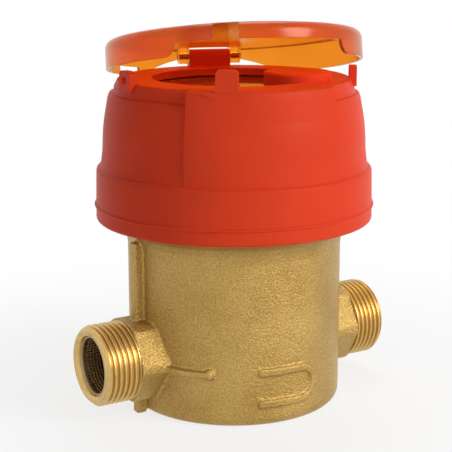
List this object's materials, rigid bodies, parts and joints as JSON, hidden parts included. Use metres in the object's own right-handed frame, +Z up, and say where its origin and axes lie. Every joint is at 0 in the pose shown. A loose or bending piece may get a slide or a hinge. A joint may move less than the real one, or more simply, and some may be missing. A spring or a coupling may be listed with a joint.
{
  "type": "water meter",
  "caption": "Rotary-piston water meter: cast brass body with threaded pipe ends, swivelling red bonnet with number drums, and a translucent hinged lid.",
  "frame": {"origin": "centre of the flat base of the casting", "axes": "+Z up, +X along the flow from inlet to outlet"},
  "size_m": [0.11, 0.093, 0.1295],
  "materials": {
    "cast_brass": "sand-cast and blasted brass with machined threads",
    "machined_brass": "machined",
    "strainer_mesh": "fine moulded mesh",
    "chamber_plastic": "moulded",
    "piston_plastic": "moulded and turned",
    "rubber": "moulded rubber",
    "magnet": "bonded ferrite",
    "white_plastic": "moulded",
    "gear_brass": "cut and polished",
    "stainless": "drawn and ground",
    "can_metal": "drawn copper alloy",
    "glass": "clear, hardened",
    "bonnet_plastic": "moulded, satin gloss",
    "lid_plastic": "translucent, moulded",
    "red_drum": "moulded",
    "black_drum": "moulded"
  },
  "bodies": {
    "meter_body": {"body_casting": "cast_brass", "inlet_strainer": "strainer_mesh", "chamber_gasket": "rubber", "chamber_body": "chamber_plastic", "division_plate": "chamber_plastic", "chamber_cover": "chamber_plastic", "plate_seal": "rubber", "pressure_plate": "stainless", "retaining_ring": "machined_brass"},
    "drive": {"drive_spindle": "white_plastic", "drive_magnet": "magnet"},
    "piston": {"piston": "piston_plastic"},
    "register": {"bonnet": "bonnet_plastic", "register_can": "can_metal", "can_seal": "rubber", "register_glass": "glass", "lower_gear_plate": "machined_brass", "upper_gear_plate": "machined_brass", "dial_plate": "white_plastic", "drum_shaft": "stainless", "pinion_shaft": "stainless"},
    "follower": {"follower_spindle": "white_plastic", "follower_magnet": "magnet"},
    "first_arbor": {"first_arbor": "gear_brass"},
    "second_arbor": {"second_arbor": "gear_brass"},
    "third_arbor": {"third_arbor": "gear_brass"},
    "lid": {"lid": "lid_plastic", "hinge_pin": "stainless"},
    "number_drum_1": {"number_drum_1": "red_drum"},
    "number_drum_2": {"number_drum_2": "red_drum"},
    "number_drum_3": {"number_drum_3": "red_drum"},
    "number_drum_4": {"number_drum_4": "black_drum"},
    "number_drum_5": {"number_drum_5": "black_drum"},
    "number_drum_6": {"number_drum_6": "black_drum"},
    "number_drum_7": {"number_drum_7": "black_drum"},
    "number_drum_8": {"number_drum_8": "black_drum"},
    "carry_pinion_1": {"carry_pinion_1": "white_plastic"},
    "carry_pinion_2": {"carry_pinion_2": "white_plastic"},
    "carry_pinion_3": {"carry_pinion_3": "white_plastic"},
    "carry_pinion_4": {"carry_pinion_4": "white_plastic"},
    "carry_pinion_5": {"carry_pinion_5": "white_plastic"},
    "carry_pinion_6": {"carry_pinion_6": "white_plastic"},
    "carry_pinion_7": {"carry_pinion_7": "white_plastic"}
  },
  "joints": [
    {"name": "drive_spin", "type": "hinge", "parent": "meter_body", "child": "drive", "pos_m": [0, 0, 0.05], "axis": [0, 0, 1], "continuous": true},
    {"name": "piston_pin", "type": "hinge", "parent": "drive", "child": "piston", "pos_m": [0.0036, 0, 0.026], "axis": [0, 0, 1], "continuous": true},
    {"name": "register_swivel", "type": "hinge", "parent": "meter_body", "child": "register", "pos_m": [0, 0, 0.066], "axis": [0, 0, 1], "range_deg": [-175, 175]},
    {"name": "lid_hinge", "type": "hinge", "parent": "register", "child": "lid", "pos_m": [0.01218, 0.03599, 0.1122], "axis": [-0.9472, 0.3206, 0], "range_deg": [-11.3, 98]},
    {"name": "follower_spin", "type": "hinge", "parent": "register", "child": "follower", "pos_m": [0, 0, 0.07], "axis": [0, 0, 1], "continuous": true},
    {"name": "first_arbor_spin", "type": "hinge", "parent": "register", "child": "first_arbor", "pos_m": [0.0002, -0.01424, 0.074], "axis": [0, 0, 1], "continuous": true},
    {"name": "second_arbor_spin", "type": "hinge", "parent": "register", "child": "second_arbor", "pos_m": [0.00747, -0.00199, 0.074], "axis": [0, 0, 1], "continuous": true},
    {"name": "third_arbor_spin", "type": "hinge", "parent": "register", "child": "third_arbor", "pos_m": [0.01435, -0.0158, 0.074], "axis": [0, 0, 1], "continuous": true},
    {"name": "drum_1_spin", "type": "hinge", "parent": "register", "child": "number_drum_1", "pos_m": [0.00016, 0.00048, 0.0916], "axis": [0.9472, -0.3206, 0], "continuous": true},
    {"name": "drum_2_spin", "type": "hinge", "parent": "register", "child": "number_drum_2", "pos_m": [0.00016, 0.00048, 0.0916], "axis": [0.9472, -0.3206, 0], "continuous": true},
    {"name": "drum_3_spin", "type": "hinge", "parent": "register", "child": "number_drum_3", "pos_m": [0.00016, 0.00048, 0.0916], "axis": [0.9472, -0.3206, 0], "continuous": true},
    {"name": "drum_4_spin", "type": "hinge", "parent": "register", "child": "number_drum_4", "pos_m": [0.00016, 0.00048, 0.0916], "axis": [0.9472, -0.3206, 0], "continuous": true},
    {"name": "drum_5_spin", "type": "hinge", "parent": "register", "child": "number_drum_5", "pos_m": [0.00016, 0.00048, 0.0916], "axis": [0.9472, -0.3206, 0], "continuous": true},
    {"name": "drum_6_spin", "type": "hinge", "parent": "register", "child": "number_drum_6", "pos_m": [0.00016, 0.00048, 0.0916], "axis": [0.9472, -0.3206, 0], "continuous": true},
    {"name": "drum_7_spin", "type": "hinge", "parent": "register", "child": "number_drum_7", "pos_m": [0.00016, 0.00048, 0.0916], "axis": [0.9472, -0.3206, 0], "continuous": true},
    {"name": "drum_8_spin", "type": "hinge", "parent": "register", "child": "number_drum_8", "pos_m": [0.00016, 0.00048, 0.0916], "axis": [0.9472, -0.3206, 0], "continuous": true},
    {"name": "carry_1_spin", "type": "hinge", "parent": "register", "child": "carry_pinion_1", "pos_m": [0.00298, 0.0088, 0.0916], "axis": [0.9472, -0.3206, 0], "continuous": true},
    {"name": "carry_2_spin", "type": "hinge", "parent": "register", "child": "carry_pinion_2", "pos_m": [0.00298, 0.0088, 0.0916], "axis": [0.9472, -0.3206, 0], "continuous": true},
    {"name": "carry_3_spin", "type": "hinge", "parent": "register", "child": "carry_pinion_3", "pos_m": [0.00298, 0.0088, 0.0916], "axis": [0.9472, -0.3206, 0], "continuous": true},
    {"name": "carry_4_spin", "type": "hinge", "parent": "register", "child": "carry_pinion_4", "pos_m": [0.00298, 0.0088, 0.0916], "axis": [0.9472, -0.3206, 0], "continuous": true},
    {"name": "carry_5_spin", "type": "hinge", "parent": "register", "child": "carry_pinion_5", "pos_m": [0.00298, 0.0088, 0.0916], "axis": [0.9472, -0.3206, 0], "continuous": true},
    {"name": "carry_6_spin", "type": "hinge", "parent": "register", "child": "carry_pinion_6", "pos_m": [0.00298, 0.0088, 0.0916], "axis": [0.9472, -0.3206, 0], "continuous": true},
    {"name": "carry_7_spin", "type": "hinge", "parent": "register", "child": "carry_pinion_7", "pos_m": [0.00298, 0.0088, 0.0916], "axis": [0.9472, -0.3206, 0], "continuous": true}
  ],
  "couplings": [
    {"joint": "piston_pin", "follows": "drive_spin", "ratio": -1},
    {"joint": "follower_spin", "follows": "drive_spin", "ratio": 1},
    {"joint": "first_arbor_spin", "follows": "drive_spin", "ratio": -0.2},
    {"joint": "second_arbor_spin", "follows": "drive_spin", "ratio": 0.04},
    {"joint": "third_arbor_spin", "follows": "drive_spin", "ratio": 0.04},
    {"joint": "drum_1_spin", "follows": "drive_spin", "ratio": 0.04},
    {"joint": "drum_2_spin", "follows": "drive_spin", "ratio": 0.004},
    {"joint": "drum_3_spin", "follows": "drive_spin", "ratio": 0.0004},
    {"joint": "drum_4_spin", "follows": "drive_spin", "ratio": 0.00004},
    {"joint": "drum_5_spin", "follows": "drive_spin", "ratio": 0.000004},
    {"joint": "drum_6_spin", "follows": "drive_spin", "ratio": 0.0000004},
    {"joint": "drum_7_spin", "follows": "drive_spin", "ratio": 0.00000004},
    {"joint": "drum_8_spin", "follows": "drive_spin", "ratio": 0.000000004},
    {"joint": "carry_1_spin", "follows": "drive_spin", "ratio": -0.01},
    {"joint": "carry_2_spin", "follows": "drive_spin", "ratio": -0.001},
    {"joint": "carry_3_spin", "follows": "drive_spin", "ratio": -0.0001},
    {"joint": "carry_4_spin", "follows": "drive_spin", "ratio": -0.00001},
    {"joint": "carry_5_spin", "follows": "drive_spin", "ratio": -0.000001},
    {"joint": "carry_6_spin", "follows": "drive_spin", "ratio": -0.0000001},
    {"joint": "carry_7_spin", "follows": "drive_spin", "ratio": -0.00000001}
  ]
}
